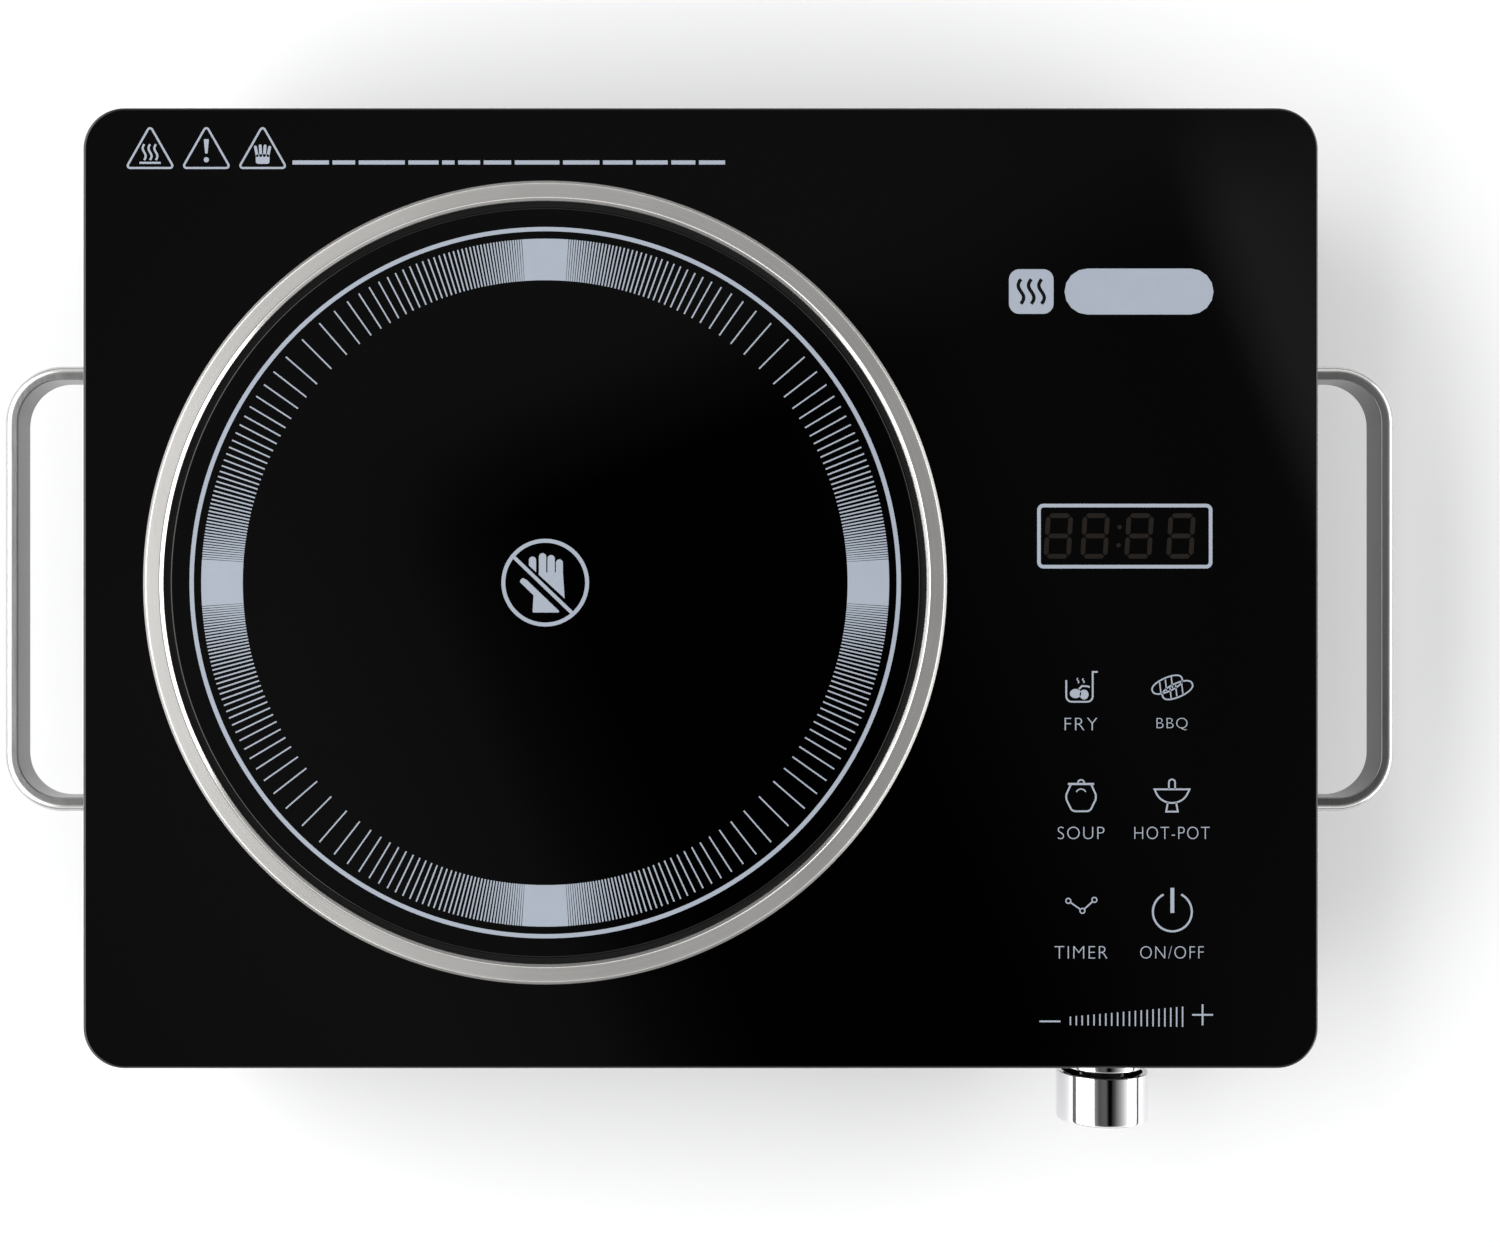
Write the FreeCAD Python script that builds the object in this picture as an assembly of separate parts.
"""Single-zone radiant hot plate: black glass top, round ceramic disc in a raised steel ring,
two fixed carrying handles, touch keys with a display, and a rotary knob on the front wall.

Millimetres. +X is to the user's right, +Y to the back, +Z up. The origin is at the middle of the
overall footprint, on the surface that the feet stand on. Each piece is written to parts/NODE.step.
"""

import FreeCAD
import Part
import math
import os

V = FreeCAD.Vector
X_AXIS = V(1, 0, 0)
Y_AXIS = V(0, 1, 0)
Z_AXIS = V(0, 0, 1)

# ---------------------------------------------------------------- driving dimensions
# glass top
panel_length = 360.0
panel_width = 280.0
panel_thick = 4.0
panel_corner_r = 12.0
panel_arris = 0.8
panel_overhang = 6.0
bond_thick = 1.0
bond_width = 3.0
bond_inset = 0.5
bond_inner_r = 1.0

# heating zone: the ceramic disc in its steel ring, placed from the left edge and the middle of the glass
zone_inset = 134.7
zone_offset_y = 1.6
disc_r = 109.4
disc_arris = 0.6
seal_gap = 1.5
seal_bed = 1.8
seal_recess = 0.5
ring_wall = 1.2
ring_flange = 6.0
ring_rise = 2.2
ring_chamfer = 1.0
ring_lip = 5.4
ring_lip_thick = 1.2
ring_hole_gap = 0.3

# housing and base
wall = 2.2
wall_height = 49.6
housing_corner_r = 8.0
deck_thick = 2.4
deck_hole_gap = 2.4
base_thick = 2.4
rim_height = 6.0
rim_wall = 1.8
rim_gap = 0.4
boss_r = 4.0
boss_inset = 7.0
mid_boss_inset = 114.0
foot_height = 8.0
foot_r = 12.0
foot_top_r = 10.5
foot_inset = 24.0
foot_recess = 3.6
foot_recess_gap = 1.0
foot_edge = 1.0
foot_pad_r = 7.0
foot_pad_height = 1.6

# screws
screw_r = 1.5
screw_head_r = 2.8
screw_head_h = 2.2
screw_gap = 0.05
cross_width_share = 0.3
cross_length_share = 1.2
cross_depth_share = 0.6
case_screw_length = 14.0
foot_screw_length = 8.0
board_screw_length = 7.0
handle_screw_length = 14.0
washer_thick = 0.8
washer_r = 4.2

# carrying handles: half-round bar, flat side towards the housing
handle_span = 132.0
handle_reach = 26.0
handle_bar_thick = 4.2
handle_bar_height = 12.0
handle_bar_round = 2.2
handle_bend_r = 17.0
handle_drop = 15.0
rosette_thick = 1.2
rosette_margin = 1.5

# knob on the front wall, placed from the right edge of the glass
knob_inset = 56.0
knob_drop = 30.0
knob_reach = 22.0
knob_r = 13.75
knob_length = 15.0
knob_wall = 1.6
knob_edge = 0.8
knob_gap = 1.0
knob_travel = 0.5
bezel_r = 12.3
bezel_wall = 1.8
bezel_web = 2.0
bushing_r = 3.5
bushing_past_nut = 1.3
nut_thick = 2.0
nut_flats = 10.0
lock_washer_thick = 0.5
lock_washer_r = 5.6
encoder_size = 12.4
encoder_depth = 6.8
encoder_wall = 1.0
rotor_r = 4.6
rotor_thick = 2.4
rotor_gap = 0.6
rotor_side_gap = 0.5
shaft_r = 3.0
shaft_flat = 1.5
shaft_end_gap = 1.0
shaft_fit = 0.05
hub_r = 6.0
hub_web = 2.0
clip_thick = 0.6
clip_width = 2.5
clip_inset = 4.0
clip_slot = 3.0

# heater, centred under the disc
dish_gap = 2.5
dish_thick = 0.6
dish_height = 26.0
dish_top_gap = 1.0
insulation_thick = 12.0
insulation_wall_thick = 10.0
insulation_gap = 0.2
ribbon_height = 3.5
ribbon_thick = 0.6
ribbon_rim_gap = 6.2
ribbon_pitch = 9.0
ribbon_turns = 4
ribbon_zone_gap = 10.0
ribbon_gap_deg = 14.0
limiter_r = 2.5
limiter_drop = 7.5
limiter_hole_gap = 0.3
limiter_head_cover = 1.0
limiter_head = (24.0, 22.0, 13.0)
terminal_block_size = (10.0, 24.0, 12.0)
terminal_angle = -32.0
terminal_lift = 6.0
tab_length = 8.0
tab_width = 6.3
tab_thick = 0.8
tray_inset = 7.0
tray_thick = 1.0
tray_lip = 3.0
tray_post_r = 5.0
tray_post_inset = 8.0
tray_height = 12.0
leaf_width = 12.0
leaf_thick = 0.8
leaf_post_gap = 26.0
leaf_foot = 16.0
leaf_top = 12.0
leaf_ramp = 16.0
earth_tag = (8.0, 14.0, 0.8)
earth_inset = 8.0

# fan, placed beside the screw boss of the back right corner
fan_size = 80.0
fan_depth = 15.0
fan_boss_gap = 2.8
fan_frame_wall = 2.0
fan_screw_inset = 4.25
fan_hub_r = 18.0
fan_hub_wall = 1.6
fan_blade_gap = 1.0
fan_blades = 9
fan_blade_thick = 1.2
fan_blade_pitch_deg = 38.0
fan_shaft_r = 1.5
fan_bearing_r = 3.0
fan_tube_wall = 1.5
fan_spokes = 4
fan_seat = 2.0
fan_foot_thick = 2.0
fan_rim_gap = 0.5
stator_slot = 2.4

# boards, placed from the right edge of the glass and from the front wall
board_thick = 1.6
power_board = (78.0, 140.0)
power_board_inset = 98.0
power_board_gap = 9.0
power_board_height = 9.6
control_board = (68.0, 166.0)
control_board_inset = 90.0
control_board_gap = 2.4
control_board_drop = 8.5
post_r = 3.2

# parts on the power board: corner from the board's own corner, and size
heatsink_spot = (24.0, 118.0)
heatsink_plate = (44.0, 3.0, 22.0)
heatsink_fin = (2.0, 14.0)
heatsink_fins = 9
heatsink_fin_pitch = 5.2
triac_spot = (40.0, 113.5)
triac_size = (10.2, 4.5, 16.0)
triac_leg = (0.8, 0.6, 5.0)
triac_leg_pitch = 2.54
relay_spot = (8.0, 88.0)
relay_size = (19.0, 15.5, 15.5)
core_spot = (43.0, 55.0)
core_size = (32.0, 14.0, 22.0)
bobbin_spot = (46.0, 50.0)
bobbin_size = (26.0, 24.0, 19.0)
capacitor_spot = (10.0, 46.0)
capacitor_size = (26.0, 10.0, 17.0)
capacitor_edge = 1.0
fuse_spot = (12.0, 72.0)
fuse_r = 2.6
fuse_length = 20.0
fuse_lift = 2.0
fuse_clip = (4.0, 0.6)
fuse_clip_inset = 3.0
terminal_spot = (8.0, 112.0)
terminal_size = (12.0, 20.0, 13.0)
terminal_ways = 3
terminal_pitch = 6.0
terminal_screw_r = 1.8
terminal_screw_depth = 6.0
terminal_wire_r = 1.6
terminal_wire_depth = 5.0
terminal_wire_height = 4.0
buzzer_spot = (60.0, 34.0)
buzzer_r = 6.0
buzzer_height = 8.5
buzzer_hole_r = 1.2
buzzer_hole_depth = 2.0

# processor under the control board
chip_spot = (24.0, 60.0)
chip_size = (12.0, 7.6, 2.2)
chip_lift = 0.3
chip_leg = (0.4, 1.4, 0.5)
chip_leg_pitch = 1.15
chip_leg_inset = 0.6
chip_legs = 10

# wiring inside
flat_cable_spot = (30.0, 22.0)
flat_cable_width = 12.0
flat_cable_thick = 1.0
flat_cable_bend_r = 8.0
lead_bend_share = 0.45
heater_lead_r = 1.2
heater_lead_spot = (6.0, 30.0)
heater_lead_step = 8.0
heater_lead_rise = 10.0
heater_lead_out = 5.0
signal_lead_r = 0.9
fan_lead_inset = 12.0
fan_lead_spot = (4.0, 12.0)
fan_lead_rise = 8.0
fan_lead_out = 6.0
encoder_lead_lift = 4.0
encoder_lead_out = 9.0

# display and touch keys, placed from the middle and the front edge of the glass
display_size = (51.3, 19.1)
display_front = 155.15
display_gap = 0.5
key_columns = (-13.2, 13.2)
key_rows = (45.0, 76.7, 107.5)
key_pad_r = 4.0
slider_row = 14.0
slider_pads = 5
slider_pad_pitch = 7.4
slider_pad = (6.0, 5.0)
slider_end_pads = 20.5

# cord entry in the back wall, placed from the right edge of the glass
gland_inset = 140.0
gland_height = 26.0
gland_bore_r = 3.7
gland_body_r = 6.9
gland_flange_r = 9.0
gland_flange_thick = 2.2
gland_snap_thick = 3.0
gland_snap_r = 7.8
gland_gap = 0.1
gland_snap_lead = 1.0
gland_edge = 0.8

# vents
vent_width = 3.0
vent_pitch = 7.0
vent_height = 22.0
vent_margin = 16.0
wall_vents = 12
floor_vents = 9
floor_vent_length = 90.0
grille_bar = 2.0
grille_slot = 3.4

# rating plate (blank)
plate_size = (70.0, 38.0)
plate_thick = 0.4

# how far a cutting tool runs past, or a joined piece reaches into, what it meets
overlap = 1.0

# ---------------------------------------------------------------- derived places
base_z = foot_height
floor_z = base_z + base_thick
deck_z = floor_z + wall_height
panel_z = deck_z + bond_thick
top_z = panel_z + panel_thick
ring_top_z = top_z + ring_rise

half_length = panel_length / 2
half_width = panel_width / 2
panel_y = knob_reach / 2
front_y = panel_y - half_width
back_y = panel_y + half_width
wall_x = half_length - panel_overhang
wall_front_y = front_y + panel_overhang
wall_back_y = back_y - panel_overhang
inner_x = wall_x - wall
inner_front_y = wall_front_y + wall
inner_back_y = wall_back_y - wall

zone = V(zone_inset - half_length, panel_y + zone_offset_y, 0)
ring_r = disc_r + seal_gap
collar_r = ring_r + ring_wall
lip_r = ring_r - ring_lip
lip_z = panel_z - seal_bed

knob_x = half_length - knob_inset
knob_z = top_z - knob_drop
knob_front_y = front_y - knob_reach
knob_back_y = knob_front_y + knob_length
bezel_front_y = knob_back_y + knob_gap

handle_z = top_z - handle_drop
handle_x = half_length + handle_reach
handle_leg_y = handle_span / 2 - handle_bar_thick / 2

screw_hole_r = screw_r + screw_gap
boss_x = inner_x - boss_inset
boss_front_y = inner_front_y + boss_inset
boss_back_y = inner_back_y - boss_inset
mid_boss_x = half_length - mid_boss_inset
case_screw_spots = [(x, y) for x in (-boss_x, mid_boss_x, boss_x) for y in (boss_front_y, boss_back_y)]
foot_spots = [
    (sx * (wall_x - foot_inset), panel_y + sy * (half_width - panel_overhang - foot_inset))
    for sx in (-1, 1)
    for sy in (-1, 1)
]

fan_x = boss_x - boss_r - fan_boss_gap - fan_size / 2
fan_y = boss_back_y - boss_r - fan_boss_gap - fan_size / 2
fan_z = floor_z + fan_seat
fan_duct_r = fan_size / 2 - fan_frame_wall

gland_x = half_length - gland_inset

power_x = half_length - power_board_inset
power_y = inner_front_y + encoder_depth + power_board_gap
power_z = floor_z + power_board_height
power_top = power_z + board_thick
control_x = half_length - control_board_inset
control_y = inner_front_y + control_board_gap
control_top = panel_z - control_board_drop
control_z = control_top - board_thick


# ---------------------------------------------------------------- shape helpers
def block(x0, x1, y0, y1, z0, z1):
    """Box between two corners."""
    return Part.makeBox(x1 - x0, y1 - y0, z1 - z0, V(x0, y0, z0))


def cylinder(r, height, base, axis=Z_AXIS):
    """Cylinder that rises from the middle of its base along an axis."""
    return Part.makeCylinder(r, height, base, axis)


def tube(outer_r, inner_r, height, base, axis=Z_AXIS):
    """Round tube along an axis."""
    return cylinder(outer_r, height, base, axis).cut(cylinder(inner_r, height, base, axis))


def union(shapes):
    """One solid from overlapping or touching ones."""
    first, *rest = shapes
    return first.multiFuse(rest).removeSplitter() if rest else first


def rounded_plate(length, width, corner_r, z0, z1, middle_y=panel_y):
    """Flat plate with upright round corners, centred on x = 0."""
    plate = block(-length / 2, length / 2, middle_y - width / 2, middle_y + width / 2, z0, z1)
    uprights = [e for e in plate.Edges if abs(e.tangentAt(e.FirstParameter).z) > 0.99]
    return plate.makeFillet(corner_r, uprights)


def turned(profile, middle):
    """Solid turned about the upright axis through middle, from (radius, z) corners."""
    points = [V(middle.x + r, middle.y, z) for r, z in profile]
    face = Part.Face(Part.makePolygon(points + points[:1]))
    return face.revolve(V(middle.x, middle.y, 0), Z_AXIS, 360)


def turned_y(profile, x, z):
    """Solid turned about the axis along Y through (x, z), from (radius, y) corners."""
    points = [V(x + r, y, z) for r, y in profile]
    face = Part.Face(Part.makePolygon(points + points[:1]))
    return face.revolve(V(x, 0, z), Y_AXIS, 360)


def ring_polar(angle_deg, radius, z, middle=zone):
    """Point on a circle about an upright axis."""
    a = math.radians(angle_deg)
    return V(middle.x + radius * math.cos(a), middle.y + radius * math.sin(a), z)


def screw(point, direction, length):
    """Pan-head screw whose head seats on point and whose shank runs along direction."""
    shank = cylinder(screw_r, length, point, direction)
    head = cylinder(screw_head_r, screw_head_h, point, direction * -1)
    head_top = point - direction * screw_head_h
    across = V(0, 0, 1) if abs(direction.z) < 0.5 else V(1, 0, 0)
    third = direction.cross(across)
    cross_w = screw_head_r * cross_width_share
    cross_l = screw_head_r * cross_length_share
    cross_d = screw_head_h * cross_depth_share
    body = shank.fuse(head)
    for along, side in ((across, third), (third, across)):
        corner = head_top - along * (cross_l / 2) - side * (cross_w / 2)
        points = [
            corner,
            corner + along * cross_l,
            corner + along * cross_l + side * cross_w,
            corner + side * cross_w,
        ]
        bar = Part.Face(Part.makePolygon(points + points[:1])).extrude(direction * cross_d)
        body = body.cut(bar)
    return body


def lead(points, r):
    """Insulated wire: straight runs joined by tangent arcs, as large as the runs allow."""
    tangents = [points[0]]
    arcs = []
    for before, corner, after in zip(points, points[1:], points[2:]):
        back = before - corner
        ahead = after - corner
        reach = lead_bend_share * min(back.Length, ahead.Length)
        start = corner + back.normalize() * reach
        end = corner + ahead.normalize() * reach
        turn = math.pi - back.getAngle(ahead)
        arc_r = reach / math.tan(turn / 2)
        bisector = (back + ahead).normalize()
        centre = corner + bisector * math.hypot(arc_r, reach)
        middle = centre - bisector * arc_r
        arcs.append(Part.Arc(start, middle, end).toShape())
        tangents += [start, end]
    tangents.append(points[-1])
    edges = []
    for index, (start, end) in enumerate(zip(tangents[0::2], tangents[1::2])):
        edges.append(Part.LineSegment(start, end).toShape())
        edges += arcs[index : index + 1]
    path = Part.Wire(edges)
    heading = points[1] - points[0]
    ring = Part.Wire(Part.Circle(points[0], heading, r).toShape())
    return path.makePipeShell([ring], True, False)


def write(name, *pieces):
    """One STEP file for a node. Several pieces stay separate solids."""
    solids = [s for piece in pieces for s in piece.Solids]
    shape = solids[0] if len(solids) == 1 else Part.makeCompound(solids)
    shape.exportStep(os.path.join("parts", name + ".step"))


# ---------------------------------------------------------------- glass, disc and ring
def make_glass_panel():
    panel = rounded_plate(panel_length, panel_width, panel_corner_r, panel_z, top_z)
    rims = [e for f in panel.Faces if abs(f.normalAt(0, 0).z) > 0.99 for e in f.Edges]
    panel = panel.makeChamfer(panel_arris, rims)
    return panel.cut(cylinder(collar_r + ring_hole_gap, panel_thick, zone + Z_AXIS * panel_z))


def make_panel_bond():
    outer_inset = 2 * (panel_overhang + bond_inset)
    inner_inset = outer_inset + 2 * bond_width
    outer_r = housing_corner_r - bond_inset
    outer = rounded_plate(panel_length - outer_inset, panel_width - outer_inset, outer_r, deck_z, panel_z)
    inner_length = panel_length - inner_inset
    inner_width = panel_width - inner_inset
    inner = rounded_plate(inner_length, inner_width, bond_inner_r, deck_z, panel_z)
    return outer.cut(inner)


def make_hob_disc():
    profile = [
        (0, panel_z),
        (disc_r - disc_arris, panel_z),
        (disc_r, panel_z + disc_arris),
        (disc_r, top_z - disc_arris),
        (disc_r - disc_arris, top_z),
        (0, top_z),
    ]
    return turned(profile, zone)


def make_trim_ring():
    outer = ring_r + ring_flange
    bottom = lip_z - ring_lip_thick
    profile = [
        (lip_r, bottom),
        (collar_r, bottom),
        (collar_r, top_z),
        (outer, top_z),
        (outer, ring_top_z - ring_chamfer),
        (outer - ring_chamfer, ring_top_z),
        (ring_r + ring_chamfer, ring_top_z),
        (ring_r, ring_top_z - ring_chamfer),
        (ring_r, lip_z),
        (lip_r, lip_z),
    ]
    return turned(profile, zone)


def make_disc_seal():
    top = top_z - seal_recess
    bead = [(disc_r, panel_z), (ring_r, panel_z), (ring_r, top), (disc_r, top)]
    bed = tube(ring_r, lip_r, seal_bed, zone + Z_AXIS * lip_z)
    whole = turned(bead, zone).fuse(bed)
    return whole.cut(make_hob_disc()).removeSplitter()


# ---------------------------------------------------------------- housing and base
def wall_slots(spots, height, along_x):
    """Upright slots through a wall, from the (x, y) of each slot's middle."""
    z0 = floor_z + (wall_height - height) / 2
    deep = wall * 2
    half_x, half_y = (vent_width / 2, deep) if along_x else (deep, vent_width / 2)
    slots = []
    for x, y in spots:
        slots.append(block(x - half_x, x + half_x, y - half_y, y + half_y, z0, z0 + height))
    return slots


def centred_row(count, pitch, middle=0.0):
    """Evenly spaced places about a middle."""
    return [middle + pitch * (i - (count - 1) / 2) for i in range(count)]


def handle_leg_spots():
    """The (side, y) of each handle leg."""
    return [(side, panel_y + end * handle_leg_y) for side in (-1, 1) for end in (-1, 1)]


def control_boss_spots():
    """Corners where the control board hangs from the deck."""
    return [
        (control_x + ex, control_y + ey)
        for ex in (post_r, control_board[0] - post_r)
        for ey in (post_r, control_board[1] - post_r)
    ]


def power_post_spots():
    """Corners where the power board stands on the base."""
    return [
        (power_x + ex, power_y + ey)
        for ex in (post_r, power_board[0] - post_r)
        for ey in (post_r, power_board[1] - post_r)
    ]


def make_upper_housing():
    length = 2 * wall_x
    width = wall_back_y - wall_front_y
    shell = rounded_plate(length, width, housing_corner_r, floor_z, deck_z)
    hollow_r = housing_corner_r - wall
    hollow = rounded_plate(length - 2 * wall, width - 2 * wall, hollow_r, floor_z, deck_z - deck_thick)
    body = shell.cut(hollow)

    pillars = []
    for x, y in case_screw_spots:
        pillars.append(cylinder(boss_r, wall_height - deck_thick, V(x, y, floor_z)))
    for x, y in control_boss_spots():
        pillars.append(cylinder(post_r, deck_z - deck_thick - control_top, V(x, y, control_top)))
    body = union([body, *pillars])

    window_x = control_x + 2 * post_r
    window_x1 = control_x + control_board[0] - 2 * post_r
    window_y1 = control_y + control_board[1] - 2 * post_r
    cuts = [
        cylinder(collar_r + deck_hole_gap, deck_thick, zone + Z_AXIS * (deck_z - deck_thick)),
        block(window_x, window_x1, control_y, window_y1, deck_z - deck_thick, deck_z),
    ]
    for x, y in case_screw_spots:
        cuts.append(cylinder(screw_hole_r, case_screw_length, V(x, y, floor_z)))
    for x, y in control_boss_spots():
        cuts.append(cylinder(screw_hole_r, board_screw_length, V(x, y, control_z)))
    for side, y in handle_leg_spots():
        cuts.append(cylinder(screw_hole_r, wall, V(side * inner_x, y, handle_z), X_AXIS * side))
    cuts.append(cylinder(bushing_r + screw_gap, wall, V(knob_x, wall_front_y, knob_z), Y_AXIS))
    cuts.append(cylinder(gland_body_r + gland_gap, wall, V(gland_x, inner_back_y, gland_height), Y_AXIS))
    back_spots = [(x, wall_back_y) for x in centred_row(wall_vents, vent_pitch, fan_x)]
    side_spots = [(side * wall_x, y) for side in (-1, 1) for y in side_vent_rows()]
    cuts += wall_slots(back_spots, vent_height, True)
    cuts += wall_slots(side_spots, vent_height, False)
    return body.cut(Part.makeCompound(cuts))


def side_vent_rows():
    """Slots in the side walls, in two groups between the handle legs and the corners."""
    middle = (handle_leg_y + half_width - vent_margin) / 2
    group = centred_row(wall_vents // 2, vent_pitch)
    return [panel_y + end * middle + step for end in (-1, 1) for step in group]


def make_base_plate():
    length = 2 * wall_x
    width = wall_back_y - wall_front_y
    floor = rounded_plate(length, width, housing_corner_r, base_z, floor_z)
    inset = 2 * (wall + rim_gap)
    rim_r = housing_corner_r - wall - rim_gap
    rim_top = floor_z + rim_height
    rim_outer = rounded_plate(length - inset, width - inset, rim_r, floor_z, rim_top)
    inner_inset = inset + 2 * rim_wall
    inner_r = rim_r - rim_wall
    rim_inner = rounded_plate(length - inner_inset, width - inner_inset, inner_r, floor_z, rim_top)
    rim = rim_outer.cut(rim_inner)

    posts = [cylinder(foot_pad_r, foot_pad_height, V(x, y, floor_z)) for x, y in foot_spots]
    posts += [cylinder(post_r, power_board_height, V(x, y, floor_z)) for x, y in power_post_spots()]
    posts += [cylinder(tray_post_r, tray_height, p) for p in tray_post_spots()]
    posts += [cylinder(post_r, fan_seat, V(x, y, floor_z)) for x, y in fan_screw_spots()]
    plate = union([floor, rim, *posts])

    cuts = []
    for x, y in case_screw_spots:
        cuts.append(cylinder(screw_hole_r, base_thick, V(x, y, base_z)))
        cuts.append(cylinder(boss_r + rim_gap, rim_height, V(x, y, floor_z)))
    for x, y in foot_spots:
        cuts.append(cylinder(screw_hole_r, base_thick + foot_pad_height, V(x, y, base_z)))
    for x, y in power_post_spots():
        cuts.append(cylinder(screw_hole_r, board_screw_length, V(x, y, power_top - board_screw_length)))
    for p in tray_post_spots():
        hole_z = floor_z + tray_height + tray_thick - board_screw_length
        cuts.append(cylinder(screw_hole_r, board_screw_length, V(p.x, p.y, hole_z)))
    for x, y in fan_screw_spots():
        cuts.append(cylinder(screw_hole_r, base_thick + fan_seat, V(x, y, base_z)))
    cuts += fan_grille()
    cuts += floor_slots()
    return plate.cut(Part.makeCompound(cuts))


def fan_grille():
    """Ring slots under the fan, left with two crossing bars."""
    rings = []
    slot_r = fan_hub_r
    bar = grille_bar / 2
    while slot_r + grille_slot < fan_duct_r:
        rings.append(tube(slot_r + grille_slot, slot_r, base_thick, V(fan_x, fan_y, base_z)))
        slot_r += grille_slot + grille_bar
    reach = fan_duct_r
    bars = [
        block(fan_x - reach, fan_x + reach, fan_y - bar, fan_y + bar, base_z, floor_z),
        block(fan_x - bar, fan_x + bar, fan_y - reach, fan_y + reach, base_z, floor_z),
    ]
    return [ring.cut(Part.makeCompound(bars)) for ring in rings]


def floor_slots():
    """Long slots in the floor under the heater, with round ends."""
    slots = []
    half = floor_vent_length / 2 - vent_width / 2
    for x in centred_row(floor_vents, 2 * vent_pitch, zone.x):
        x0 = x - vent_width / 2
        slots.append(block(x0, x0 + vent_width, zone.y - half, zone.y + half, base_z, floor_z))
        for end in (-1, 1):
            slots.append(cylinder(vent_width / 2, base_thick, V(x, zone.y + end * half, base_z)))
    return slots


def make_foot(x, y):
    """Rubber foot, wider at the floor, with the screw head sunk in its recess."""
    profile = [
        (screw_hole_r, base_z),
        (foot_top_r, base_z),
        (foot_r, foot_edge),
        (foot_r - foot_edge, 0.0),
        (screw_head_r + foot_recess_gap, 0.0),
        (screw_head_r + foot_recess_gap, foot_recess),
        (screw_hole_r, foot_recess),
    ]
    return turned(profile, V(x, y, 0))


def make_rating_plate():
    x0 = zone.x - plate_size[0] / 2
    y1 = zone.y - floor_vent_length / 2 - vent_width
    blank = block(x0, x0 + plate_size[0], y1 - plate_size[1], y1, base_z - plate_thick, base_z)
    uprights = [e for e in blank.Edges if abs(e.tangentAt(e.FirstParameter).z) > 0.99]
    return blank.makeFillet(vent_width, uprights)


def make_cord_gland():
    inner_end = inner_back_y - gland_snap_thick
    outer_end = wall_back_y + gland_flange_thick
    profile = [
        (gland_bore_r, inner_end),
        (gland_snap_r - gland_snap_lead, inner_end),
        (gland_snap_r, inner_back_y),
        (gland_body_r, inner_back_y),
        (gland_body_r, wall_back_y),
        (gland_flange_r, wall_back_y),
        (gland_flange_r - gland_edge, outer_end),
        (gland_bore_r, outer_end),
    ]
    return turned_y(profile, gland_x, gland_height)


# ---------------------------------------------------------------- handles
def handle_section(x):
    """Outline across the back leg: flat towards the middle of the U, outer corners rounded."""
    flat_y = panel_y + handle_leg_y - handle_bar_thick / 2
    crown_y = flat_y + handle_bar_thick
    bend_y = crown_y - handle_bar_round
    slant = handle_bar_round * math.cos(math.pi / 4)
    sides = []
    for up in (1, -1):
        edge_z = handle_z + up * handle_bar_height / 2
        centre = V(x, bend_y, edge_z - up * handle_bar_round)
        middle = centre + V(0, slant, up * slant)
        sides.append((V(x, flat_y, edge_z), V(x, bend_y, edge_z), middle, V(x, crown_y, centre.z)))
    top, bottom = sides
    outline = [
        Part.LineSegment(bottom[0], top[0]),
        Part.LineSegment(top[0], top[1]),
        Part.Arc(top[1], top[2], top[3]),
        Part.LineSegment(top[3], bottom[3]),
        Part.Arc(bottom[3], bottom[2], bottom[1]),
        Part.LineSegment(bottom[1], bottom[0]),
    ]
    return Part.Wire([edge.toShape() for edge in outline])


def make_handle(side):
    """U-shaped bar: two legs, two bends and the grip, swept as straight and turned stretches."""
    root_x = wall_x + rosette_thick
    bend_x = handle_x - handle_bend_r
    section = Part.Face(handle_section(root_x))
    leg = section.extrude(V(bend_x - root_x, 0, 0))
    at_bend = Part.Face(handle_section(bend_x))
    pivot = V(bend_x, panel_y + handle_span / 2 - handle_bend_r, 0)
    bend = at_bend.revolve(pivot, Z_AXIS, -90)
    turned_face = at_bend.copy()
    turned_face.rotate(pivot, Z_AXIS, -90)
    grip = turned_face.extrude(V(0, -(handle_span / 2 - handle_bend_r), 0))
    half = union([leg, bend, grip])
    other = half.mirror(V(0, panel_y, 0), Y_AXIS)
    bar = union([half, other])
    for _, y in handle_leg_spots()[:2]:
        depth = handle_screw_length - wall - rosette_thick - washer_thick
        bar = bar.cut(cylinder(screw_hole_r, depth, V(root_x, y, handle_z), X_AXIS))
    return bar if side > 0 else bar.mirror(V(0, 0, 0), X_AXIS)


def make_rosette(side, y):
    """Thin escutcheon plate between a handle leg and the wall."""
    half_y = handle_bar_thick / 2 + rosette_margin
    half_z = handle_bar_height / 2 + rosette_margin
    x0, x1 = sorted((side * wall_x, side * (wall_x + rosette_thick)))
    plate = block(x0, x1, y - half_y, y + half_y, handle_z - half_z, handle_z + half_z)
    edges = [e for e in plate.Edges if abs(e.tangentAt(e.FirstParameter).x) > 0.99]
    plate = plate.makeFillet(rosette_margin, edges)
    return plate.cut(cylinder(screw_hole_r, rosette_thick, V(side * wall_x, y, handle_z), X_AXIS * side))


def make_handle_washer(side, y):
    """Flat washer under a handle screw, inside the wall."""
    base = V(side * inner_x, y, handle_z)
    return tube(washer_r, screw_hole_r, washer_thick, base, X_AXIS * -side)


def make_handle_screw(side, y):
    seat = V(side * (inner_x - washer_thick), y, handle_z)
    return screw(seat, X_AXIS * side, handle_screw_length)


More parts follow.
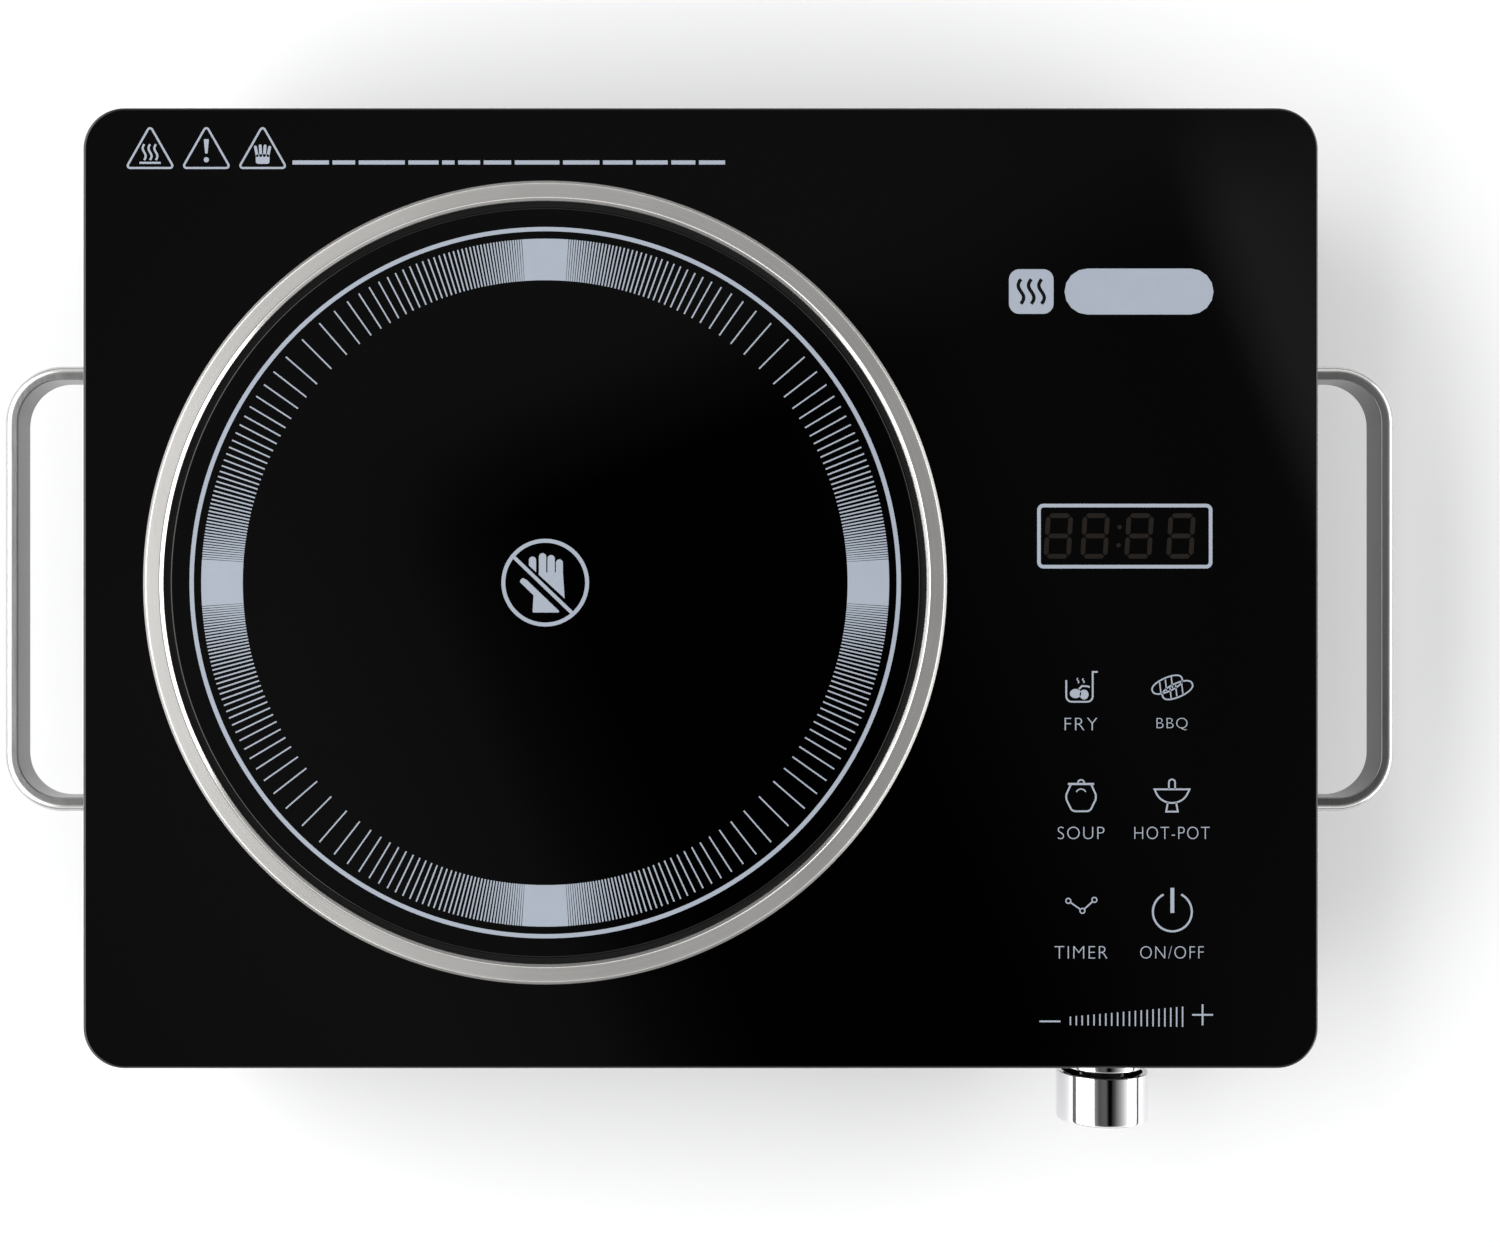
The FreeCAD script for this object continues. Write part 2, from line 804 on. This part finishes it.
# ---------------------------------------------------------------- knob and encoder
bushing_length = wall + bezel_web + lock_washer_thick + nut_thick + bushing_past_nut
bushing_tip_y = inner_front_y - bushing_length
shaft_front_y = knob_front_y + knob_wall + hub_web
shaft_back_y = inner_front_y + encoder_depth - encoder_wall - knob_travel - shaft_end_gap
rotor_y = inner_front_y + encoder_wall + rotor_gap


def d_shaft(r, y0, y1, flat_cut):
    """Round bar along Y with a flat on top."""
    bar = cylinder(r, y1 - y0, V(knob_x, y0, knob_z), Y_AXIS)
    flat_z = knob_z + r - flat_cut
    return bar.cut(block(knob_x - r, knob_x + r, y0, y1, flat_z, knob_z + r))


def make_knob_shell():
    profile = [
        (0, knob_front_y),
        (knob_r - knob_edge, knob_front_y),
        (knob_r, knob_front_y + knob_edge),
        (knob_r, knob_back_y),
        (knob_r - knob_wall, knob_back_y),
        (knob_r - knob_wall, knob_front_y + knob_wall),
        (0, knob_front_y + knob_wall),
    ]
    return turned_y(profile, knob_x, knob_z)


def make_knob_hub():
    """Black insert pressed into the shell: a web behind the face, and a boss with a D-shaped bore."""
    web_y = knob_front_y + knob_wall
    web = cylinder(knob_r - knob_wall, hub_web, V(knob_x, web_y, knob_z), Y_AXIS)
    boss = cylinder(hub_r, knob_back_y - web_y, V(knob_x, web_y, knob_z), Y_AXIS)
    bore = d_shaft(shaft_r + shaft_fit, shaft_front_y, knob_back_y, shaft_flat)
    return union([web, boss]).cut(bore)


def make_knob_clip():
    """Split spring ring round the hub's boss."""
    y0 = knob_back_y - clip_inset
    y1 = y0 + clip_width
    ring = tube(hub_r + clip_thick, hub_r, clip_width, V(knob_x, y0, knob_z), Y_AXIS)
    return ring.cut(block(knob_x - clip_slot / 2, knob_x + clip_slot / 2, y0, y1, knob_z - hub_r * 2, knob_z))


def make_encoder_shaft():
    return d_shaft(shaft_r, shaft_front_y, shaft_back_y, shaft_flat)


def make_encoder_rotor():
    """Contact wheel that turns with the shaft and lets it slide through."""
    wheel = cylinder(rotor_r, rotor_thick, V(knob_x, rotor_y, knob_z), Y_AXIS)
    return wheel.cut(d_shaft(shaft_r + shaft_fit, rotor_y, rotor_y + rotor_thick, shaft_flat))


def make_encoder_body():
    """Box round the rotor, open to the front where the bushing plate closes it."""
    half = encoder_size / 2
    y0 = inner_front_y + encoder_wall
    y1 = inner_front_y + encoder_depth
    case = block(knob_x - half, knob_x + half, y0, y1, knob_z - half, knob_z + half)
    room = cylinder(rotor_r + rotor_side_gap, y1 - encoder_wall - y0, V(knob_x, y0, knob_z), Y_AXIS)
    return case.cut(room)


def make_encoder_bushing():
    """Front plate of the encoder with its threaded bushing."""
    half = encoder_size / 2
    y1 = inner_front_y + encoder_wall
    plate = block(knob_x - half, knob_x + half, inner_front_y, y1, knob_z - half, knob_z + half)
    tip = V(knob_x, bushing_tip_y, knob_z)
    neck = cylinder(bushing_r, bushing_length, tip, Y_AXIS)
    bore = cylinder(shaft_r + shaft_fit, bushing_length + encoder_wall, tip, Y_AXIS)
    return union([plate, neck]).cut(bore)


def make_knob_bezel():
    """Polished collar on the front wall: a short cup with a web that the bushing clamps."""
    bore_r = bezel_r - bezel_wall
    profile = [
        (bushing_r + screw_gap, wall_front_y),
        (bezel_r, wall_front_y),
        (bezel_r, bezel_front_y + knob_edge),
        (bezel_r - knob_edge, bezel_front_y),
        (bore_r, bezel_front_y),
        (bore_r, wall_front_y - bezel_web),
        (bushing_r + screw_gap, wall_front_y - bezel_web),
    ]
    return turned_y(profile, knob_x, knob_z)


def make_encoder_washer():
    y0 = wall_front_y - bezel_web - lock_washer_thick
    return tube(lock_washer_r, bushing_r + screw_gap, lock_washer_thick, V(knob_x, y0, knob_z), Y_AXIS)


def make_encoder_nut():
    y0 = wall_front_y - bezel_web - lock_washer_thick - nut_thick
    corner = nut_flats / math.sqrt(3)
    points = [
        V(knob_x + corner * math.cos(math.radians(a)), y0, knob_z + corner * math.sin(math.radians(a)))
        for a in range(0, 360, 60)
    ]
    nut = Part.Face(Part.makePolygon(points + points[:1])).extrude(Y_AXIS * nut_thick)
    return nut.cut(cylinder(bushing_r + screw_gap, nut_thick, V(knob_x, y0, knob_z), Y_AXIS))


# ---------------------------------------------------------------- heater
dish_r = lip_r - dish_gap
insulation_r = dish_r - dish_thick - insulation_gap
dish_top_z = panel_z - dish_top_gap
dish_z = dish_top_z - dish_height
insulation_z = dish_z + dish_thick
ribbon_z = insulation_z + insulation_thick
limiter_z = panel_z - limiter_drop
tray_r = dish_r - tray_inset
tray_z = floor_z + tray_height
leaf_ring = tray_r - tray_post_inset - leaf_post_gap


def limiter_hole():
    """Passage for the limiter rod through both sides of the rim."""
    reach = dish_r + overlap
    return cylinder(limiter_r + limiter_hole_gap, 2 * reach, V(zone.x - reach, zone.y, limiter_z), X_AXIS)


def make_heater_dish():
    profile = [
        (0, dish_z),
        (dish_r, dish_z),
        (dish_r, dish_top_z),
        (dish_r - dish_thick, dish_top_z),
        (dish_r - dish_thick, insulation_z),
        (0, insulation_z),
    ]
    return turned(profile, zone).cut(limiter_hole())


def make_insulation_base():
    return cylinder(insulation_r, insulation_thick, zone + Z_AXIS * insulation_z)


def make_insulation_wall():
    height = panel_z - ribbon_z
    ring = tube(insulation_r, insulation_r - insulation_wall_thick, height, zone + Z_AXIS * ribbon_z)
    return ring.cut(limiter_hole())


def make_ribbon(radii, middle_deg):
    """Flat heating strip on edge: arcs joined by short links, end to end in one meander."""
    gap = ribbon_gap_deg
    start = middle_deg + gap
    sweep = 360 - 2 * gap
    pieces = []
    for index, radius in enumerate(radii):
        outer = radius + ribbon_thick / 2
        inner = radius - ribbon_thick / 2
        face = Part.Face(
            Part.makePolygon(
                [
                    ring_polar(start, inner, ribbon_z),
                    ring_polar(start, outer, ribbon_z),
                    ring_polar(start, outer, ribbon_z + ribbon_height),
                    ring_polar(start, inner, ribbon_z + ribbon_height),
                    ring_polar(start, inner, ribbon_z),
                ]
            )
        )
        pieces.append(face.revolve(zone, Z_AXIS, sweep))
        if index + 1 < len(radii):
            angle = start if index % 2 else start + sweep
            pieces.append(ribbon_link(radii[index + 1], radius, angle))
    return union(pieces)


def ribbon_radii(outermost):
    """Radii of one strip's arcs, from the outside in."""
    return [outermost - ribbon_pitch * turn for turn in range(ribbon_turns)]


def make_ribbons():
    """Outer and inner heating strips."""
    outer = ribbon_radii(insulation_r - insulation_wall_thick - ribbon_rim_gap)
    inner = ribbon_radii(outer[-1] - ribbon_zone_gap)
    return [make_ribbon(radii, terminal_angle) for radii in (outer, inner)]


def ribbon_link(inner_r, outer_r, angle):
    """Radial stretch that joins two neighbouring arcs of the strip."""
    half = ribbon_thick / 2
    bar = block(inner_r - half, outer_r + half, -half, half, ribbon_z, ribbon_z + ribbon_height)
    bar.rotate(V(0, 0, 0), Z_AXIS, angle)
    bar.translate(zone)
    return bar


def make_limiter_rod():
    reach = insulation_r - insulation_wall_thick / 2
    end_x = zone.x + dish_r
    return cylinder(limiter_r, end_x - (zone.x - reach), V(zone.x - reach, zone.y, limiter_z), X_AXIS)


def make_limiter_head():
    """Ceramic switch block on the side of the dish, where the rod ends."""
    length, width, height = limiter_head
    x0 = zone.x + dish_r - overlap
    z1 = limiter_z + limiter_r + limiter_head_cover
    head = block(x0, x0 + length, zone.y - width / 2, zone.y + width / 2, z1 - height, z1)
    return head.cut(cylinder(dish_r, height, V(zone.x, zone.y, z1 - height))).cut(make_limiter_rod())


def make_heater_terminals():
    """Ceramic block with two tabs on the side of the dish."""
    depth, width, height = terminal_block_size
    z0 = dish_z + terminal_lift
    base = block(dish_r - overlap, dish_r + depth, -width / 2, width / 2, z0, z0 + height)
    tab_x = dish_r + depth
    tab_z = z0 + height / 2
    tabs = []
    for mid_y in (-width / 4, width / 4):
        y0 = mid_y - tab_width / 2
        tabs.append(block(tab_x, tab_x + tab_length, y0, y0 + tab_width, tab_z, tab_z + tab_thick))
    body = union([base, *tabs])
    body.rotate(V(0, 0, 0), Z_AXIS, terminal_angle)
    body.translate(V(zone.x, zone.y, 0))
    return body.cut(cylinder(dish_r, height, V(zone.x, zone.y, z0)))


def tray_post_spots():
    """Posts of the base plate that carry the heater tray."""
    return [ring_polar(a, tray_r - tray_post_inset, floor_z) for a in (45, 135, 225, 315)]


def make_heater_tray():
    tray = cylinder(tray_r, tray_thick, V(zone.x, zone.y, tray_z))
    lip = tube(tray_r, tray_r - tray_thick, tray_lip, V(zone.x, zone.y, tray_z + tray_thick))
    holes = [cylinder(screw_hole_r, tray_thick, V(p.x, p.y, tray_z)) for p in tray_post_spots()]
    return union([tray, lip]).cut(Part.makeCompound(holes))


def make_leaf_spring(angle):
    """Bent strip between the tray and the dish: a foot, a ramp and a top."""
    low = tray_z + tray_thick
    high = dish_z
    half = leaf_width / 2
    corners = [
        (0, low),
        (leaf_foot, low),
        (leaf_foot + leaf_ramp, high - leaf_thick),
        (leaf_foot + leaf_ramp + leaf_top, high - leaf_thick),
        (leaf_foot + leaf_ramp + leaf_top, high),
        (leaf_foot + leaf_ramp, high),
        (leaf_foot, low + leaf_thick),
        (0, low + leaf_thick),
    ]
    middle = (leaf_foot + leaf_ramp + leaf_top) / 2
    points = [V(leaf_ring - half, u - middle, z) for u, z in corners]
    strip = Part.Face(Part.makePolygon(points + points[:1])).extrude(X_AXIS * leaf_width)
    strip.rotate(V(0, 0, 0), Z_AXIS, angle)
    strip.translate(V(zone.x, zone.y, 0))
    return strip


# ---------------------------------------------------------------- fan
fan_tube_r = fan_bearing_r + fan_tube_wall
rotor_top_z = fan_z + fan_depth - fan_blade_gap
rotor_low_z = fan_z + fan_foot_thick + fan_blade_gap
bearing_low_z = fan_z + fan_foot_thick
bearing_top_z = rotor_top_z - fan_hub_wall - fan_blade_gap


def fan_screw_spots():
    half = fan_size / 2 - fan_screw_inset
    return [(fan_x + sx * half, fan_y + sy * half) for sx in (-1, 1) for sy in (-1, 1)]


def make_fan_frame():
    """Square frame with a round duct, four spokes and the tube that holds the bearing."""
    half = fan_size / 2
    frame = block(fan_x - half, fan_x + half, fan_y - half, fan_y + half, fan_z, fan_z + fan_depth)
    uprights = [e for e in frame.Edges if abs(e.tangentAt(e.FirstParameter).z) > 0.99]
    frame = frame.makeFillet(post_r, uprights)
    frame = frame.cut(cylinder(fan_duct_r, fan_depth, V(fan_x, fan_y, fan_z)))
    seat = cylinder(fan_hub_r, fan_foot_thick, V(fan_x, fan_y, fan_z))
    tower = cylinder(fan_tube_r, bearing_top_z - fan_z, V(fan_x, fan_y, fan_z))
    spokes = []
    for index in range(fan_spokes):
        bar = block(0, fan_duct_r + fan_rim_gap, -grille_bar, grille_bar, fan_z, fan_z + fan_foot_thick)
        bar.rotate(V(0, 0, 0), Z_AXIS, 45 + 360 / fan_spokes * index)
        bar.translate(V(fan_x, fan_y, 0))
        spokes.append(bar)
    frame = union([frame, seat, tower, *spokes])
    bearing_hole = cylinder(fan_bearing_r, bearing_top_z - bearing_low_z, V(fan_x, fan_y, bearing_low_z))
    holes = [cylinder(screw_hole_r, fan_depth, V(x, y, fan_z)) for x, y in fan_screw_spots()]
    return frame.cut(Part.makeCompound([bearing_hole, *holes]))


def make_fan_bearing():
    height = bearing_top_z - bearing_low_z
    return tube(fan_bearing_r, fan_shaft_r + shaft_fit, height, V(fan_x, fan_y, bearing_low_z))


def make_fan_stator():
    """Wound core round the bearing tube, inside the rotor's hub."""
    outer = fan_hub_r - fan_hub_wall - fan_blade_gap
    height = bearing_top_z - bearing_low_z - fan_blade_gap
    core = tube(outer, fan_tube_r, height, V(fan_x, fan_y, bearing_low_z))
    half = stator_slot / 2
    slots = []
    for index in range(4):
        notch = block(fan_tube_r + stator_slot, outer + overlap, -half, half, bearing_low_z, bearing_top_z)
        notch.rotate(V(0, 0, 0), Z_AXIS, 90 * index)
        notch.translate(V(fan_x, fan_y, 0))
        slots.append(notch)
    return core.cut(Part.makeCompound(slots))


def make_fan_rotor():
    """Cup-shaped hub with pitched blades."""
    middle = V(fan_x, fan_y, 0)
    low = middle + Z_AXIS * rotor_low_z
    height = rotor_top_z - rotor_low_z
    hub = cylinder(fan_hub_r, height, low)
    hub = hub.cut(cylinder(fan_hub_r - fan_hub_wall, height - fan_hub_wall, low))
    blade_r = fan_duct_r - fan_blade_gap
    root_r = fan_hub_r - fan_rim_gap
    band = tube(blade_r, root_r, height - 2 * fan_rim_gap, low + Z_AXIS * fan_rim_gap)
    mid_z = (rotor_low_z + rotor_top_z) / 2
    half = fan_blade_thick / 2
    blades = []
    for index in range(fan_blades):
        blade = block(fan_hub_r - overlap, fan_duct_r, -half, half, -fan_depth, fan_depth)
        blade.rotate(V(0, 0, 0), X_AXIS, fan_blade_pitch_deg)
        blade.rotate(V(0, 0, 0), Z_AXIS, 360 / fan_blades * index)
        blade.translate(V(fan_x, fan_y, mid_z))
        blades.append(blade.common(band))
    rotor = union([hub, *blades])
    socket = cylinder(fan_shaft_r, fan_hub_wall, middle + Z_AXIS * (rotor_top_z - fan_hub_wall))
    return rotor.cut(socket)


def make_fan_shaft():
    low = bearing_low_z + fan_blade_gap / 2
    return cylinder(fan_shaft_r, rotor_top_z - low, V(fan_x, fan_y, low))


def make_fan_screws():
    seats = [V(x, y, fan_z + fan_depth) for x, y in fan_screw_spots()]
    return [screw(seat, Z_AXIS * -1, fan_depth + fan_seat + base_thick / 2) for seat in seats]


# ---------------------------------------------------------------- power board
def on_power_board(spot, size):
    """Box that stands on the power board, its corner a spot away from the board's own corner."""
    x0 = power_x + spot[0]
    y0 = power_y + spot[1]
    return block(x0, x0 + size[0], y0, y0 + size[1], power_top, power_top + size[2])


def make_power_board():
    x1 = power_x + power_board[0]
    y1 = power_y + power_board[1]
    board = block(power_x, x1, power_y, y1, power_z, power_top)
    holes = [cylinder(screw_hole_r, board_thick, V(x, y, power_z)) for x, y in power_post_spots()]
    return board.cut(Part.makeCompound(holes))


def make_heatsink():
    """Aluminium heatsink: a back plate with fins, the fins towards the fan."""
    fin_y = heatsink_spot[1] + heatsink_plate[1]
    fin = (*heatsink_fin, heatsink_plate[2])
    fins = []
    for index in range(heatsink_fins):
        fins.append(on_power_board((heatsink_spot[0] + heatsink_fin_pitch * index, fin_y), fin))
    return union([on_power_board(heatsink_spot, heatsink_plate), *fins])


def make_triac():
    """Flat-backed switch on the heatsink, on three legs."""
    x0, y0 = triac_spot
    leg_w, leg_d, leg_h = triac_leg
    body = on_power_board(triac_spot, triac_size)
    under = (triac_size[0] + 2 * overlap, triac_size[1] + 2 * overlap, leg_h)
    body = body.cut(on_power_board((x0 - overlap, y0 - overlap), under))
    leg_y = y0 + triac_size[1] / 2 - leg_d
    leg_x = centred_row(3, triac_leg_pitch, x0 + (triac_size[0] - leg_w) / 2)
    return union([body, *[on_power_board((x, leg_y), triac_leg) for x in leg_x]])


def make_relay():
    return on_power_board(relay_spot, relay_size)


def make_transformer():
    """Laminated core round a bobbin."""
    return union([on_power_board(bobbin_spot, bobbin_size), on_power_board(core_spot, core_size)])


def make_filter_capacitor():
    body = on_power_board(capacitor_spot, capacitor_size)
    edges = [e for e in body.Edges if abs(e.tangentAt(e.FirstParameter).z) > 0.99]
    return body.makeFillet(capacitor_edge, edges)


def make_fuse():
    """Glass fuse in two spring clips."""
    x0 = power_x + fuse_spot[0]
    y = power_y + fuse_spot[1]
    z = power_top + fuse_r + fuse_lift
    body = cylinder(fuse_r, fuse_length, V(x0, y, z), X_AXIS)
    clip_length, clip_wall = fuse_clip
    half_y = fuse_r + clip_wall
    clips = []
    for mid_x in (x0 + fuse_clip_inset, x0 + fuse_length - fuse_clip_inset):
        half_x = clip_length / 2
        clips.append(block(mid_x - half_x, mid_x + half_x, y - half_y, y + half_y, power_top, z))
    return union([body, *clips])


def make_terminal_block():
    """Three-way screw terminal where the mains wires arrive."""
    x0 = power_x + terminal_spot[0]
    mid_y = power_y + terminal_spot[1] + terminal_size[1] / 2
    mid_x = x0 + terminal_size[0] / 2
    screw_z = power_top + terminal_size[2] - terminal_screw_depth
    wire_z = power_top + terminal_wire_height
    holes = []
    for row in centred_row(terminal_ways, terminal_pitch, mid_y):
        holes.append(cylinder(terminal_screw_r, terminal_screw_depth, V(mid_x, row, screw_z)))
        holes.append(cylinder(terminal_wire_r, terminal_wire_depth, V(x0, row, wire_z), X_AXIS))
    return on_power_board(terminal_spot, terminal_size).cut(Part.makeCompound(holes))


def make_buzzer():
    spot = V(power_x + buzzer_spot[0], power_y + buzzer_spot[1], power_top)
    shell = cylinder(buzzer_r, buzzer_height, spot)
    hole = cylinder(buzzer_hole_r, buzzer_hole_depth, spot + Z_AXIS * (buzzer_height - buzzer_hole_depth))
    return shell.cut(hole)


def make_short_screws():
    """Identical screws of both boards and of the heater tray."""
    down = [V(x, y, power_top) for x, y in power_post_spots()]
    down += [V(p.x, p.y, tray_z + tray_thick) for p in tray_post_spots()]
    up = [V(x, y, control_z) for x, y in control_boss_spots()]
    lower = [screw(seat, Z_AXIS * -1, board_screw_length) for seat in down]
    upper = [screw(seat, Z_AXIS, board_screw_length) for seat in up]
    return lower + upper


# ---------------------------------------------------------------- control board
def make_control_board():
    x1 = control_x + control_board[0]
    y1 = control_y + control_board[1]
    board = block(control_x, x1, control_y, y1, control_z, control_top)
    holes = [cylinder(screw_hole_r, board_thick, V(x, y, control_z)) for x, y in control_boss_spots()]
    return board.cut(Part.makeCompound(holes))


def make_controller_chip():
    """Processor on the underside of the control board, on two rows of legs."""
    x0 = control_x + chip_spot[0]
    y0 = control_y + chip_spot[1]
    length, width, height = chip_size
    leg_width, leg_reach, leg_height = chip_leg
    z1 = control_z - chip_lift
    body = block(x0, x0 + length, y0, y0 + width, z1 - height, z1)
    legs = []
    for i in range(chip_legs):
        leg_x = x0 + chip_leg_inset + chip_leg_pitch * i
        y1 = y0 + width + leg_reach
        legs.append(block(leg_x, leg_x + leg_width, y0 - leg_reach, y1, control_z - leg_height, control_z))
    return union([body, *legs])


def make_display_module():
    """Four-digit display that stands on the control board, close under the glass."""
    half = display_size[0] / 2
    y0 = front_y + display_front - display_size[1] / 2
    top = panel_z - display_gap
    return block(knob_x - half, knob_x + half, y0, y0 + display_size[1], control_top, top)


def make_touch_pads():
    """Conductive foam pads between the board and the glass: six keys and the slider."""
    height = panel_z - control_top
    pads = []
    for column in key_columns:
        for row in key_rows:
            pads.append(cylinder(key_pad_r, height, V(knob_x + column, front_y + row, control_top)))
    places = centred_row(slider_pads, slider_pad_pitch, knob_x)
    places += [knob_x - slider_end_pads - slider_pad[0] / 2, knob_x + slider_end_pads + slider_pad[0] / 2]
    for x in places:
        y = front_y + slider_row
        half_x = slider_pad[0] / 2
        half_y = slider_pad[1] / 2
        pads.append(block(x - half_x, x + half_x, y - half_y, y + half_y, control_top, panel_z))
    return pads


# ---------------------------------------------------------------- wiring inside
def make_ribbon_cable():
    """Flat cable from the power board up to the control board, in a shallow S of two quarter turns."""
    x0 = power_x + flat_cable_spot[0]
    y0 = power_y + flat_cable_spot[1]
    bend = flat_cable_bend_r
    low = V(x0, y0, power_top)
    mid_z = (power_top + control_z) / 2
    high = V(x0, y0 + 2 * bend, control_z)
    turn_in = V(x0, y0, mid_z - bend)
    halfway = V(x0, y0 + bend, mid_z)
    turn_out = V(x0, y0 + 2 * bend, mid_z + bend)
    near = bend - bend * math.cos(math.pi / 4)
    far = bend * math.sin(math.pi / 4)
    outline = [
        Part.LineSegment(low, turn_in),
        Part.Arc(turn_in, turn_in + V(0, near, far), halfway),
        Part.Arc(halfway, halfway + V(0, far, near), turn_out),
        Part.LineSegment(turn_out, high),
    ]
    path = Part.Wire([edge.toShape() for edge in outline])
    half_x = flat_cable_width / 2
    half_y = flat_cable_thick / 2
    corners = [low + V(sx * half_x, sy * half_y, 0) for sx, sy in ((-1, -1), (1, -1), (1, 1), (-1, 1))]
    section = Part.makePolygon(corners + corners[:1])
    return path.makePipeShell([section], True, False)


def make_heater_leads():
    """Two leads from the power board to the tabs of the heater's terminal block."""
    depth, width, height = terminal_block_size
    tab_z = dish_z + terminal_lift + height / 2
    angle = math.radians(terminal_angle)
    radial = V(math.cos(angle), math.sin(angle), 0)
    across = V(-math.sin(angle), math.cos(angle), 0)
    leads = []
    for index, offset in enumerate((-width / 4, width / 4)):
        tab = V(zone.x, zone.y, tab_z) + radial * (dish_r + depth + tab_length) + across * offset
        step = heater_lead_step * index
        foot = V(power_x + heater_lead_spot[0] + step, power_y + heater_lead_spot[1] + step, power_top)
        rise = foot + Z_AXIS * heater_lead_rise
        leads.append(lead([tab, tab + radial * heater_lead_out, rise, foot], heater_lead_r))
    return leads


def make_fan_lead():
    """Thin lead from the fan's frame to the power board."""
    half = fan_size / 2
    start = V(fan_x - half, fan_y - half + fan_lead_inset, fan_z + fan_depth / 2)
    foot = V(power_x + fan_lead_spot[0], power_y + power_board[1] - fan_lead_spot[1], power_top)
    rise = foot + Z_AXIS * fan_lead_rise
    return lead([start, start - X_AXIS * fan_lead_out, rise, foot], signal_lead_r)


def make_encoder_lead():
    """Thin lead from the encoder's board up to the control board."""
    start = V(knob_x, inner_front_y + encoder_depth, knob_z + encoder_lead_lift)
    corner = start + Y_AXIS * encoder_lead_out
    return lead([start, corner, V(corner.x, corner.y, control_z)], signal_lead_r)


def make_earth_screw():
    """Screw and tag on the heater tray that earth the metal parts."""
    length, width, thick = earth_tag
    p = ring_polar(0, tray_r - earth_inset, tray_z + tray_thick)
    half = length / 2
    tag = block(p.x - half, p.x + half, p.y - half, p.y - half + width, p.z, p.z + thick)
    return union([tag, cylinder(screw_head_r, screw_head_h, p + Z_AXIS * thick)])


def make_all():
    """Every node by name, each with its separate solids."""
    legs = handle_leg_spots()
    return {
        "glass_panel": [make_glass_panel()],
        "panel_bond": [make_panel_bond()],
        "hob_disc": [make_hob_disc()],
        "trim_ring": [make_trim_ring()],
        "disc_seal": [make_disc_seal()],
        "upper_housing": [make_upper_housing()],
        "base_plate": [make_base_plate()],
        "feet": [make_foot(x, y) for x, y in foot_spots],
        "foot_screws": [screw(V(x, y, foot_recess), Z_AXIS, foot_screw_length) for x, y in foot_spots],
        "case_screws": [screw(V(x, y, base_z), Z_AXIS, case_screw_length) for x, y in case_screw_spots],
        "rating_plate": [make_rating_plate()],
        "cord_gland": [make_cord_gland()],
        "handle_left": [make_handle(-1)],
        "handle_right": [make_handle(1)],
        "handle_rosettes": [make_rosette(side, y) for side, y in legs],
        "handle_washers": [make_handle_washer(side, y) for side, y in legs],
        "handle_screws": [make_handle_screw(side, y) for side, y in legs],
        "knob_shell": [make_knob_shell()],
        "knob_hub": [make_knob_hub()],
        "knob_clip": [make_knob_clip()],
        "knob_bezel": [make_knob_bezel()],
        "encoder_shaft": [make_encoder_shaft()],
        "encoder_rotor": [make_encoder_rotor()],
        "encoder_body": [make_encoder_body()],
        "encoder_bushing": [make_encoder_bushing()],
        "encoder_washer": [make_encoder_washer()],
        "encoder_nut": [make_encoder_nut()],
        "heater_dish": [make_heater_dish()],
        "insulation_base": [make_insulation_base()],
        "insulation_wall": [make_insulation_wall()],
        "heating_ribbons": make_ribbons(),
        "limiter_rod": [make_limiter_rod()],
        "limiter_head": [make_limiter_head()],
        "heater_terminals": [make_heater_terminals()],
        "heater_springs": [make_leaf_spring(angle) for angle in (0, 120, 240)],
        "heater_tray": [make_heater_tray()],
        "earth_screw": [make_earth_screw()],
        "fan_frame": [make_fan_frame()],
        "fan_bearing": [make_fan_bearing()],
        "fan_stator": [make_fan_stator()],
        "fan_rotor": [make_fan_rotor()],
        "fan_shaft": [make_fan_shaft()],
        "fan_screws": make_fan_screws(),
        "power_board": [make_power_board()],
        "heatsink": [make_heatsink()],
        "triac": [make_triac()],
        "relay": [make_relay()],
        "transformer": [make_transformer()],
        "filter_capacitor": [make_filter_capacitor()],
        "fuse": [make_fuse()],
        "terminal_block": [make_terminal_block()],
        "buzzer": [make_buzzer()],
        "short_screws": make_short_screws(),
        "control_board": [make_control_board()],
        "controller_chip": [make_controller_chip()],
        "display_module": [make_display_module()],
        "touch_pads": make_touch_pads(),
        "ribbon_cable": [make_ribbon_cable()],
        "heater_leads": make_heater_leads(),
        "signal_leads": [make_fan_lead(), make_encoder_lead()],
    }


os.makedirs("parts", exist_ok=True)
for node_name, node_pieces in make_all().items():
    write(node_name, *node_pieces)
